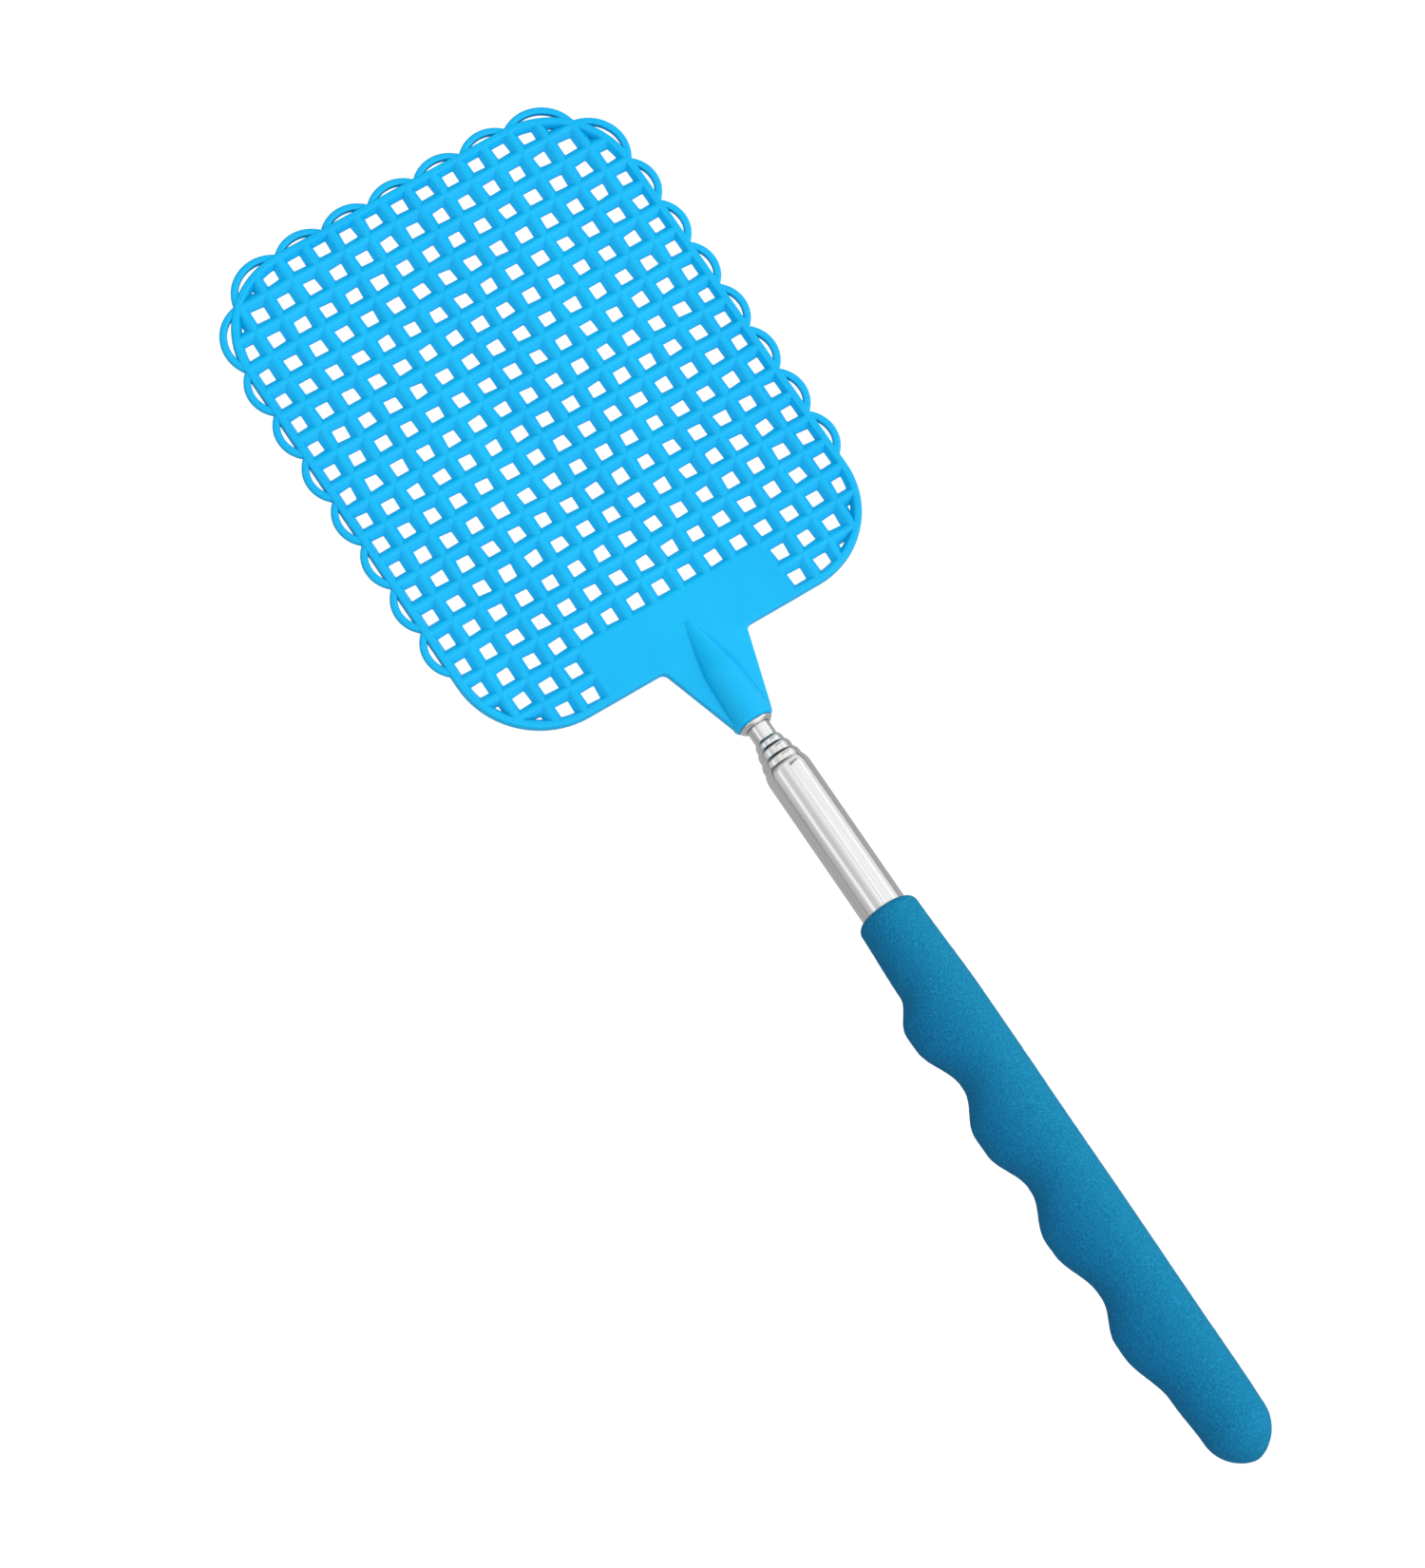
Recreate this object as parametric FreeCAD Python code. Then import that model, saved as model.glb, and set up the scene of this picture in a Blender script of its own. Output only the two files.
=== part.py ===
"""Telescopic fly swatter: a moulded lattice head on a five-tube steel rod with a foam finger grip.

Millimetres. The swatter lies flat with the lattice facing up:
+X is to the right, +Y runs along the rod towards the head, +Z is up, away from the surface it lies on.
The origin is at the middle of the footprint, on that surface. The rod is drawn closed, at its shortest.
A station is a distance down the rod from the middle of the lattice, so stations grow towards the grip.
"""

import FreeCAD, Part
import math
import os

# ---- driving dimensions: overall ----
TOP_REACH = 59.7            # middle of the lattice to the outermost loop above it
BUTT_STATION = 248.6        # domed end of the grip
GRIP_HALF_THICKNESS = 6.8   # the grip's thickest half, which sets the height of the rod's axis

AXIS_Z = GRIP_HALF_THICKNESS
LATTICE_Y = (BUTT_STATION - TOP_REACH) / 2.0

# ---- driving dimensions: head ----
PITCH = 6.0                 # from one lattice hole to the next, both ways
COLUMNS = 15
ROWS = 19
CREST_WIDTH = 1.0           # top of a rib
HOLE_WIDTH = 2.85           # clear square opening at the bottom of each pit
FUNNEL_DEPTH = 1.15         # height of the sloping pit walls
PLATE_TOP = 1.2             # above the rod's axis
PLATE_THICKNESS = 1.8
RIM_HALF_WIDTH = 45.3
RIM_TOP = 57.4              # above the middle of the lattice
RIM_BOTTOM = 57.8           # below the middle of the lattice
RIM_RADIUS = 18.6           # corners of the rim
RIM_WIDTH = 2.2
WEB_HALF_WIDTH = 21.0       # the solid patch between the lattice and the neck
WEB_TOP = 45.0              # below the middle of the lattice

LOOP_SPACING = 10.8         # from one side or top loop to the next
LOOP_REACH = 2.45           # how far a side loop stands out from the rim
LOOP_WIDTH = 1.7
LOOP_THICKNESS = 1.4
LOOPS_PER_SIDE = 7
LOOPS_ON_TOP = 5
LOOPS_PER_CORNER = 2
SMALLEST_PIT = 0.4          # volume, in mm3, of the smallest part of a pit worth cutting at the rim
CUT_OVERLAP = 0.5           # how far a cutting tool runs past the face that it cuts

NECK_ROOT_HALF_WIDTH = 9.6
NECK_FILLET = 1.5
NECK_STEP = 1.2             # the flat neck ends this far short of the socket's mouth
MOUTH_STATION = 75.7        # open end of the rod socket
SOCKET_RADIUS = 4.4
SOCKET_EDGE = 1.0           # rounding of the socket's open end
NOSE = [(0.0, 50.2), (1.3, 51.0), (3.85, 63.0)]   # radius and station along the socket's tapering nose

# ---- driving dimensions: rod ----
TUBE_COUNT = 5
TUBE_1_RADIUS = 2.45        # the innermost tube
TUBE_STEP = 0.58            # each tube's outer radius is this much more than the one inside it
TUBE_WALL = 0.28
RUNNING_CLEARANCE = 0.05
LIP_STATIONS = {2: 79.8, 3: 81.6, 4: 83.9, 5: 86.0}
LIP_LENGTHS = {2: 1.2, 3: 1.2, 4: 1.2, 5: 2.1}
LIP_EDGE = 0.14             # width of the flat ring at a rolled lip's tip
TUBE_1_TOP_STATION = 63.4
FOOT_STATION = 201.2        # where the four sliding tubes end when the rod is closed
FOOT_THICKNESS = 0.6
LEAF_LENGTH = 6.0
LEAF_THICKNESS = 0.1
LEAF_ANGLE = 110.0
LEAF_CLEARANCE = 0.03
COLLAR_LENGTH = 2.5
STACK_GAP = 0.15            # end play between foot, leaves and collar

FERRULE_RADIUS = 2.95
FERRULE_DEPTH = 12.0        # in the socket
SOCKET_END_GAP = 1.0        # from the ferrule's end to the end of the socket's bore
FLANGE_RADIUS = 3.5
FLANGE_EDGE = 0.4
FLANGE_NOSE_RADIUS = 2.95
FLANGE_LENGTH = 0.9

PLUG_GAP = 0.2              # from the tubes' feet to the plug
PLUG_LENGTH = 8.0
PLUG_FLANGE = 1.0

# ---- driving dimensions: grip ----
GRIP_STATION = 121.2
GRIP_RIM_ROUNDING = 1.8
DOME_LENGTH = 7.9
DOME_SHARPNESS = 1.2        # 1 is round; more is more pointed
DOME_FLAT = 0.12            # share of the radius left flat at the very end of the dome
SECTION_SPACING = 3.0
RIM_SHARES = (0.0, 0.08, 0.3, 0.6)                      # sections in the rim's rounding
DOME_SHARES = (0.25, 0.5, 0.7, 0.85, 0.94, 0.98, 1.0)   # and in the dome
SECTION_POINTS = 16
# Station and reach of the finger side, eased from each point to the next: two points for a broad crest.
FINGER_SIDE = [
    (121.2, 6.5), (136.8, 7.05), (144.4, 10.5), (147.5, 10.46), (157.8, 7.05), (158.6, 7.05),
    (168.3, 10.66), (171.9, 10.62), (181.5, 7.49), (182.2, 7.49), (192.4, 10.8), (194.9, 10.75),
    (205.7, 7.92), (206.8, 7.92), (216.0, 10.84), (218.4, 10.84), (230.5, 8.1), (241.0, 7.5), (248.6, 7.4),
]
# The same for the straight palm side.
PALM_SIDE = [(121.2, 6.35), (145.0, 6.95), (185.0, 6.75), (230.0, 6.45), (248.6, 6.1)]

UP = FreeCAD.Vector(0, 0, 1)
ROD_AXIS = FreeCAD.Vector(0, 1, 0)


def at(x, station, height=0.0):
    """A point at this station, this far right of the rod's axis and this far above it."""
    return FreeCAD.Vector(x, LATTICE_Y - station, AXIS_Z + height)


def prism(wire, bottom, thickness):
    """A flat outline drawn at the axis height, made solid from bottom, measured from the axis."""
    solid = Part.Face(wire).extrude(UP * thickness)
    solid.translate(UP * bottom)
    return solid


def line(start, end):
    return Part.LineSegment(start, end).toShape()


def shoulder_arc(tip, shoulder):
    """An arc from a rolled lip's tip to its shoulder, where it runs on smoothly into the tube's side."""
    rise = shoulder.x - tip.x
    run = tip.y - shoulder.y
    radius = (rise ** 2 + run ** 2) / (2.0 * rise)
    half_turn = math.asin(run / radius) / 2.0
    middle = FreeCAD.Vector(
        shoulder.x - radius + radius * math.cos(half_turn),
        shoulder.y + radius * math.sin(half_turn),
        shoulder.z,
    )
    return Part.Arc(tip, middle, shoulder).toShape()


def turned(edges, angle=360.0, start=0.0):
    """A solid turned about the rod's axis from an outline to the right of it."""
    face = Part.Face(Part.Wire(edges))
    if start:
        face.rotate(at(0, 0), ROD_AXIS, start)
    return face.revolve(at(0, 0), ROD_AXIS, angle)


def ring(inner, outer, start, end):
    """A plain ring or bush between two stations."""
    corners = [at(inner, start), at(outer, start), at(outer, end), at(inner, end), at(inner, start)]
    return turned([line(a, b) for a, b in zip(corners, corners[1:])])


def save(name, shape):
    """Writes one node, after a check that it is one good solid."""
    solids = shape.Solids
    if len(solids) != 1 or not shape.isValid():
        raise RuntimeError(f"{name}: {len(solids)} solids, valid {shape.isValid()}")
    solids[0].exportStep(f"parts/{name}.step")
    print(f"{name}: {solids[0].Volume:.1f} mm3")


# ---------------------------------------------------------------- head

def rounded_outline(inset):
    """The rim's outline, moved inwards by inset."""
    half = RIM_HALF_WIDTH - inset
    top = -(RIM_TOP - inset)
    bottom = RIM_BOTTOM - inset
    radius = RIM_RADIUS - inset
    edges = []
    corners = [(half, top, 90.0), (-half, top, 180.0), (-half, bottom, 270.0), (half, bottom, 360.0)]
    arcs = []
    for x, station, end_angle in corners:
        centre_x = x - math.copysign(radius, x)
        centre_station = station - math.copysign(radius, station)
        points = []
        for angle in (end_angle - 90.0, end_angle - 45.0, end_angle):
            turn = math.radians(angle)
            points.append(at(centre_x + radius * math.cos(turn), centre_station - radius * math.sin(turn)))
        arcs.append(points)
    for number, points in enumerate(arcs):
        edges.append(Part.Arc(*points).toShape())
        edges.append(line(points[2], arcs[(number + 1) % len(arcs)][0]))
    return Part.Wire(edges)


def square(half, height):
    """The corners of a square around the middle of the lattice, at this height from the rod's axis."""
    signs = [(-1, 1), (1, 1), (1, -1), (-1, -1)]
    return [at(across * half, along * half, height) for across, along in signs]


def pit():
    """One tapered square pit with its clear opening, around the middle of the lattice."""
    squares = [
        square(HOLE_WIDTH / 2.0, PLATE_TOP - PLATE_THICKNESS - CUT_OVERLAP),
        square(HOLE_WIDTH / 2.0, PLATE_TOP - FUNNEL_DEPTH),
        square((PITCH - CREST_WIDTH) / 2.0, PLATE_TOP),
        square((PITCH - CREST_WIDTH) / 2.0, PLATE_TOP + CUT_OVERLAP),
    ]
    faces = [Part.Face(Part.makePolygon(squares[0] + squares[0][:1]))]
    faces.append(Part.Face(Part.makePolygon(squares[-1] + squares[-1][:1])))
    for lower, upper in zip(squares, squares[1:]):
        for side in range(4):
            following = (side + 1) % 4
            wall = [lower[side], lower[following], upper[following], upper[side], lower[side]]
            faces.append(Part.Face(Part.makePolygon(wall)))
    return Part.Solid(Part.Shell(faces))


def pits():
    """Every pit of the lattice, trimmed to the inside of the rim."""
    pattern = pit()
    inside = prism(rounded_outline(RIM_WIDTH), -PLATE_THICKNESS * 2, PLATE_THICKNESS * 4)
    corner_x = RIM_HALF_WIDTH - RIM_RADIUS - PITCH
    corner_y = RIM_TOP - RIM_RADIUS - PITCH
    tools = []
    for column in range(-(COLUMNS // 2), COLUMNS // 2 + 1):
        for row in range(-(ROWS // 2), ROWS // 2 + 1):
            x = column * PITCH
            station = row * PITCH
            if abs(x) < WEB_HALF_WIDTH and station > WEB_TOP:
                continue
            tool = pattern.copy()
            tool.translate(FreeCAD.Vector(x, -station, 0))
            by_corner = abs(x) > corner_x and abs(station) > corner_y
            by_rim = abs(column) == COLUMNS // 2 or abs(row) == ROWS // 2
            if by_corner or by_rim:
                tool = tool.common(inside)
            tools += [solid for solid in tool.Solids if solid.Volume > SMALLEST_PIT]
    return tools


def loop_ends():
    """The start, outermost and end point of each scalloped loop, going round from the lower right."""
    spans = []
    corner_station = RIM_RADIUS - RIM_TOP
    for sign in (1, -1):
        for number in range(LOOPS_PER_SIDE):
            start = corner_station + number * LOOP_SPACING
            edge = sign * RIM_HALF_WIDTH
            peak = at(edge + sign * LOOP_REACH, start + LOOP_SPACING / 2.0)
            spans.append((at(edge, start), peak, at(edge, start + LOOP_SPACING)))
        centre_x = sign * (RIM_HALF_WIDTH - RIM_RADIUS)
        corner_step = math.radians(90.0 / LOOPS_PER_CORNER)
        for number in range(LOOPS_PER_CORNER):
            points = []
            for share, reach in ((0.0, 0.0), (0.5, LOOP_REACH), (1.0, 0.0)):
                turn = corner_step * (number + share)
                radius = RIM_RADIUS + reach
                x = centre_x + sign * radius * math.cos(turn)
                points.append(at(x, corner_station - radius * math.sin(turn)))
            spans.append(tuple(points))
    for number in range(LOOPS_ON_TOP):
        start = (number - LOOPS_ON_TOP / 2.0) * LOOP_SPACING
        peak = at(start + LOOP_SPACING / 2.0, -TOP_REACH)
        spans.append((at(start, -RIM_TOP), peak, at(start + LOOP_SPACING, -RIM_TOP)))
    return spans


def loops():
    """The thin loops around the rim, as whole rings whose inner part is lost in the head's blank."""
    rings = []
    bottom = PLATE_TOP - (PLATE_THICKNESS + LOOP_THICKNESS) / 2.0
    for start, peak, end in loop_ends():
        circle = Part.Arc(start, peak, end).toShape().Curve
        base = circle.Center + UP * bottom
        outer = Part.makeCylinder(circle.Radius, LOOP_THICKNESS, base, UP)
        inner = Part.makeCylinder(circle.Radius - LOOP_WIDTH, LOOP_THICKNESS, base, UP)
        rings.append(outer.cut(inner))
    return rings


def neck():
    """The flat neck that narrows from the rim to the socket, with a fillet on each side of its root."""
    end = MOUTH_STATION - NECK_STEP
    side = FreeCAD.Vector(SOCKET_RADIUS - NECK_ROOT_HALF_WIDTH, -(end - RIM_BOTTOM), 0)
    side.normalize()
    turn = math.acos(-side.x)
    tangent = NECK_FILLET / math.tan((math.pi - turn) / 2.0)
    along_rim = at(NECK_ROOT_HALF_WIDTH + tangent, RIM_BOTTOM)
    along_side = at(NECK_ROOT_HALF_WIDTH, RIM_BOTTOM) + side * tangent
    centre = along_rim - ROD_AXIS * NECK_FILLET
    outwards = (along_rim - centre) + (along_side - centre)
    outwards.normalize()
    middle = centre + outwards * NECK_FILLET
    right = [along_rim, middle, along_side, at(SOCKET_RADIUS, end)]
    left = [FreeCAD.Vector(-p.x, p.y, p.z) for p in right]
    root_station = RIM_BOTTOM - RIM_WIDTH
    root = [at(-NECK_ROOT_HALF_WIDTH, root_station), at(NECK_ROOT_HALF_WIDTH, root_station)]
    edges = [
        line(root[1], right[0]),
        Part.Arc(right[0], right[1], right[2]).toShape(),
        line(right[2], right[3]),
        line(right[3], left[3]),
        line(left[3], left[2]),
        Part.Arc(left[2], left[1], left[0]).toShape(),
        line(left[0], root[0]),
        line(root[0], root[1]),
    ]
    return prism(Part.Wire(edges), PLATE_TOP - PLATE_THICKNESS, PLATE_THICKNESS)


def socket():
    """The round socket with its tapering nose and rounded mouth, solid for now."""
    rounding = SOCKET_EDGE * (1.0 - math.sqrt(0.5))
    points = [at(radius, station) for radius, station in NOSE]
    points.append(at(SOCKET_RADIUS, MOUTH_STATION - SOCKET_EDGE))
    edges = [line(a, b) for a, b in zip(points, points[1:])]
    edges += [
        Part.Arc(
            at(SOCKET_RADIUS, MOUTH_STATION - SOCKET_EDGE),
            at(SOCKET_RADIUS - rounding, MOUTH_STATION - rounding),
            at(SOCKET_RADIUS - SOCKET_EDGE, MOUTH_STATION),
        ).toShape(),
        line(at(SOCKET_RADIUS - SOCKET_EDGE, MOUTH_STATION), at(0, MOUTH_STATION)),
        line(at(0, MOUTH_STATION), points[0]),
    ]
    return turned(edges)


def swatter_head():
    """The whole moulding: rim, loops, web, neck and socket, less the pits and the bore."""
    plate = prism(rounded_outline(0.0), PLATE_TOP - PLATE_THICKNESS, PLATE_THICKNESS)
    blank = plate.fuse(loops() + [neck(), socket()])
    bore_depth = FERRULE_DEPTH + SOCKET_END_GAP
    bore = Part.makeCylinder(FERRULE_RADIUS, bore_depth, at(0, MOUTH_STATION), ROD_AXIS)
    return blank.cut(pits() + [bore]).removeSplitter()


# ---------------------------------------------------------------- rod

def tube_radius(number):
    return TUBE_1_RADIUS + (number - 1) * TUBE_STEP


def bore_radius(number):
    return tube_radius(number) - TUBE_WALL


def rolled_lip(number):
    """The outline of a tube's rolled-in lip, from its bore round the tip to its outside."""
    tip = LIP_STATIONS[number]
    shoulder = tip + LIP_LENGTHS[number]
    hole = tube_radius(number - 1) + RUNNING_CLEARANCE
    inner_tip = at(hole, tip + TUBE_WALL)
    inner_shoulder = at(bore_radius(number), shoulder)
    edges = [
        shoulder_arc(inner_tip, inner_shoulder),
        line(inner_tip, at(hole, tip)),
        line(at(hole, tip), at(hole + LIP_EDGE, tip)),
        shoulder_arc(at(hole + LIP_EDGE, tip), at(tube_radius(number), shoulder)),
    ]
    return edges, shoulder


def sliding_tube(number):
    """Tubes 1 to 4: a spread foot at the lower end and, on 2 to 4, a rolled lip at the upper end."""
    foot_radius = bore_radius(number + 1) - RUNNING_CLEARANCE
    outer = tube_radius(number)
    inner = bore_radius(number)
    if number == 1:
        top = TUBE_1_TOP_STATION
        edges = [line(at(inner, top), at(outer, top))]
    else:
        edges, top = rolled_lip(number)
    foot = [
        at(outer, top),
        at(outer, FOOT_STATION - FOOT_THICKNESS),
        at(foot_radius, FOOT_STATION - FOOT_THICKNESS),
        at(foot_radius, FOOT_STATION),
        at(inner, FOOT_STATION),
        at(inner, top),
    ]
    edges += [line(a, b) for a, b in zip(foot, foot[1:])]
    return turned(Part.__sortEdges__(edges))


def outer_tube():
    """Tube 5, with a rolled lip and a plain rear end that the plug closes."""
    number = TUBE_COUNT
    edges, top = rolled_lip(number)
    end = FOOT_STATION + PLUG_GAP + PLUG_LENGTH
    sides = [at(tube_radius(number), top), at(tube_radius(number), end), at(bore_radius(number), end)]
    sides.append(at(bore_radius(number), top))
    edges += [line(a, b) for a, b in zip(sides, sides[1:])]
    return turned(Part.__sortEdges__(edges))


def spring_leaf(number, side):
    """One thin bowed leaf in the gap around a sliding tube; its middle all but touches the bore outside."""
    low = FOOT_STATION - FOOT_THICKNESS - STACK_GAP
    high = low - LEAF_LENGTH
    middle = (low + high) / 2.0
    inside = tube_radius(number) + LEAF_CLEARANCE
    outside = inside + LEAF_THICKNESS
    crest = bore_radius(number + 1) - LEAF_CLEARANCE
    edges = [
        Part.Arc(at(inside, low), at(crest - LEAF_THICKNESS, middle), at(inside, high)).toShape(),
        line(at(inside, high), at(outside, high)),
        Part.Arc(at(outside, high), at(crest, middle), at(outside, low)).toShape(),
        line(at(outside, low), at(inside, low)),
    ]
    start = 180.0 * side - LEAF_ANGLE / 2.0
    return turned(edges, LEAF_ANGLE, start)


def stop_collar(number):
    """The brass ring above the leaves, which meets the next tube's lip when the stage is fully out."""
    low = FOOT_STATION - FOOT_THICKNESS - LEAF_LENGTH - 2.0 * STACK_GAP
    outer = bore_radius(number + 1) - RUNNING_CLEARANCE
    return ring(tube_radius(number), outer, low - COLLAR_LENGTH, low)


def socket_ferrule():
    """The flanged bush that joins the rod's tip to the moulded socket."""
    points = [
        at(TUBE_1_RADIUS, MOUTH_STATION - FERRULE_DEPTH),
        at(FERRULE_RADIUS, MOUTH_STATION - FERRULE_DEPTH),
        at(FERRULE_RADIUS, MOUTH_STATION),
        at(FLANGE_RADIUS, MOUTH_STATION),
        at(FLANGE_RADIUS, MOUTH_STATION + FLANGE_EDGE),
        at(FLANGE_NOSE_RADIUS, MOUTH_STATION + FLANGE_LENGTH),
        at(TUBE_1_RADIUS, MOUTH_STATION + FLANGE_LENGTH),
        at(TUBE_1_RADIUS, MOUTH_STATION - FERRULE_DEPTH),
    ]
    return turned([line(a, b) for a, b in zip(points, points[1:])])


def tube_plug():
    """The plug in the rear end of the outer tube, with a flange as wide as the tube."""
    front = FOOT_STATION + PLUG_GAP
    back = front + PLUG_LENGTH
    body = Part.makeCylinder(bore_radius(TUBE_COUNT), PLUG_LENGTH, at(0, back), ROD_AXIS)
    flange = Part.makeCylinder(tube_radius(TUBE_COUNT), PLUG_FLANGE, at(0, back + PLUG_FLANGE), ROD_AXIS)
    return body.fuse(flange).removeSplitter()


# ---------------------------------------------------------------- grip

def eased(table, station):
    """The reach at this station, eased from each of the table's points to the next."""
    for (start, low), (end, high) in zip(table, table[1:]):
        if station <= end:
            share = max(0.0, (station - start) / (end - start))
            return low + (high - low) * (1.0 - math.cos(math.pi * share)) / 2.0
    return table[-1][1]


def end_share(station):
    """How much of its full reach the grip has here: less at the rounded rim and in the domed end."""
    into_rim = (station - GRIP_STATION) / GRIP_RIM_ROUNDING
    into_dome = (station - (BUTT_STATION - DOME_LENGTH)) / DOME_LENGTH
    if into_rim < 1.0:
        lost = GRIP_RIM_ROUNDING / PALM_SIDE[0][1]
        return 1.0 - lost * (1.0 - math.sqrt(1.0 - (1.0 - into_rim) ** 2))
    if into_dome > 0.0:
        return max(DOME_FLAT, math.sqrt(max(0.0, 1.0 - into_dome ** 2)) ** DOME_SHARPNESS)
    return 1.0


def grip_section(station):
    """One closed cross-section: a half ellipse on the palm side and a deeper one on the finger side.

    Where the ends draw in, they draw in to the section's own middle.
    """
    share = end_share(station)
    finger = eased(FINGER_SIDE, station)
    palm = eased(PALM_SIDE, station)
    middle = (palm - finger) / 2.0 * (1.0 - share)
    points = []
    for number in range(SECTION_POINTS):
        turn = 2.0 * math.pi * number / SECTION_POINTS
        reach = palm if math.cos(turn) > 0.0 else finger
        across = middle + reach * share * math.cos(turn)
        points.append(at(across, station, GRIP_HALF_THICKNESS * share * math.sin(turn)))
    curve = Part.BSplineCurve()
    curve.interpolate(Points=points, PeriodicFlag=True, Parameters=list(range(SECTION_POINTS + 1)))
    return Part.Wire([curve.toShape()])


def grip_stations():
    """Sections close together at the rounded rim and in the dome, evenly spaced between."""
    rim = [GRIP_STATION + GRIP_RIM_ROUNDING * share for share in RIM_SHARES]
    body_end = BUTT_STATION - DOME_LENGTH
    body_start = GRIP_STATION + GRIP_RIM_ROUNDING
    count = round((body_end - body_start) / SECTION_SPACING)
    body = [body_start + (body_end - body_start) * number / count for number in range(count + 1)]
    dome = [body_end + DOME_LENGTH * share for share in DOME_SHARES]
    return rim + body + dome


def foam_grip():
    """The foam sleeve with four finger swells, a domed closed end and the outer tube's blind bore."""
    sleeve = Part.makeLoft([grip_section(station) for station in grip_stations()], True, True)
    end = FOOT_STATION + PLUG_GAP + PLUG_LENGTH + PLUG_FLANGE
    length = end - GRIP_STATION + CUT_OVERLAP
    bore = Part.makeCylinder(tube_radius(TUBE_COUNT), length, at(0, end), ROD_AXIS)
    return sleeve.cut(bore)


# ---------------------------------------------------------------- everything

def main():
    os.makedirs("parts", exist_ok=True)
    save("swatter_head", swatter_head())
    save("socket_ferrule", socket_ferrule())
    for number in range(1, TUBE_COUNT):
        save(f"tube_{number}", sliding_tube(number))
        save(f"stop_collar_{number}", stop_collar(number))
        save(f"spring_leaf_{number}a", spring_leaf(number, 0))
        save(f"spring_leaf_{number}b", spring_leaf(number, 1))
        lip = LIP_STATIONS[number + 1] + LIP_LENGTHS[number + 1]
        collar = FOOT_STATION - FOOT_THICKNESS - LEAF_LENGTH - 2.0 * STACK_GAP - COLLAR_LENGTH
        print(f"stage {number} travel to its stop: {collar - lip:.2f} mm")
    save(f"tube_{TUBE_COUNT}", outer_tube())
    save("tube_plug", tube_plug())
    save("foam_grip", foam_grip())


main()
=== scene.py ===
"""The looks of the telescopic fly swatter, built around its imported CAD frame.

Shapes are drawn in millimetres, as the CAD draws them, and scaled to metres when they are done.
+X is to the right, +Y runs along the rod towards the head, +Z is up. A station is a distance down the rod
from the middle of the lattice. Heights in the head are measured from the rod's axis.
"""

import math
import random

import bmesh
import bpy
from mathutils import Matrix, Vector, noise


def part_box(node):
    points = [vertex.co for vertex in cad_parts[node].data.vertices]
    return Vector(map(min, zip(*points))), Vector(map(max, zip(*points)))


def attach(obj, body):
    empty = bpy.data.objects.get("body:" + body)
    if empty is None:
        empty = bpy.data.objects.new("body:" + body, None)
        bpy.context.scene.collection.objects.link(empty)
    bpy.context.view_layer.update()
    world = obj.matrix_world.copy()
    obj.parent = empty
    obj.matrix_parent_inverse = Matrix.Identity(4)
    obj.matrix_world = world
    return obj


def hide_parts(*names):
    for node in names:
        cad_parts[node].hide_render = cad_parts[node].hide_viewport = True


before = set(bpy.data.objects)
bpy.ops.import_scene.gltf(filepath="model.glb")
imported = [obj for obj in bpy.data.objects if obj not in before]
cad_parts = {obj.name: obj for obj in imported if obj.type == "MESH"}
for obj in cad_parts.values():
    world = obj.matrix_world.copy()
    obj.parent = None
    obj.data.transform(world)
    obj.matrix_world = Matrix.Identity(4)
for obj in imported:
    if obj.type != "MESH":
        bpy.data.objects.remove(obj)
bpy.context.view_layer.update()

MM = 0.001

# ---- limits of a mesh ----
DOUBLED_POINTS = 1e-4       # points nearer to each other than this are joined
EMPTY_EDGE = 1e-5           # shorter edges are dissolved
ON_EDGE = 1e-6              # how near to a cell's edge a point has to be to lie on it

# ---- sizes: head ----
TOP_REACH = 59.7            # middle of the lattice to the outermost loop above it
PITCH = 6.0                 # from one lattice hole to the next, both ways
COLUMNS = 15
ROWS = 19
CREST_WIDTH = 0.5           # flat top of a rib
SHOULDER_WIDTH = 1.35       # where the gently sloping top turns down into the pit
SHOULDER_DROP = 0.18
SHOULDER_ROUNDING = 0.8
HOLE_WIDTH = 2.85
HOLE_CORNER = 0.16          # rounding of the hole's four corners
CREST_CORNER = 0.35         # share of that rounding left where the ribs' crests meet
HOLE_SKEW = 0.16            # how far each corner of a hole may stray to either side, as the mould's do
NO_SKEW = (Vector((0.0, 0.0)),) * 4
MOULD_SEED = 5
THROAT_ROUNDING = 0.15      # where a pit's sloping wall turns down into the hole
UNDERSIDE_ROUNDING = 0.12
FUNNEL_DEPTH = 1.15
PLATE_TOP = 1.2
PLATE_THICKNESS = 1.8
RIM_HALF_WIDTH = 45.3
RIM_TOP = 57.4              # above the middle of the lattice
RIM_BOTTOM = 57.8           # below the middle of the lattice
RIM_RADIUS = 18.6
RIM_CREST = 1.4             # width of the rim's top
RIM_FOOT = 2.2              # width of the rim's underside
RIM_ROUNDING = 0.45         # of the rim's two upper edges
RIM_LOWER_ROUNDING = 0.25   # of its outer lower edge
LATTICE_INSET = 0.6         # how far inside the rim's outer edge the lattice ends, as a share of the crest
WEB_HALF_WIDTH = 21.0
WEB_TOP = 45.0              # below the middle of the lattice

LOOP_SPACING = 10.8
LOOP_REACH = 2.45
LOOP_WIDTH = 1.55
LOOP_THICKNESS = 1.4
LOOP_ROUNDING = 0.45
LOOPS_PER_SIDE = 7
LOOPS_ON_TOP = 5
LOOPS_PER_CORNER = 2
LOOP_STEPS = 28
LOOP_OVERRUN = 0.06         # share of a loop's length by which its ends run on into the rim

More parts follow.
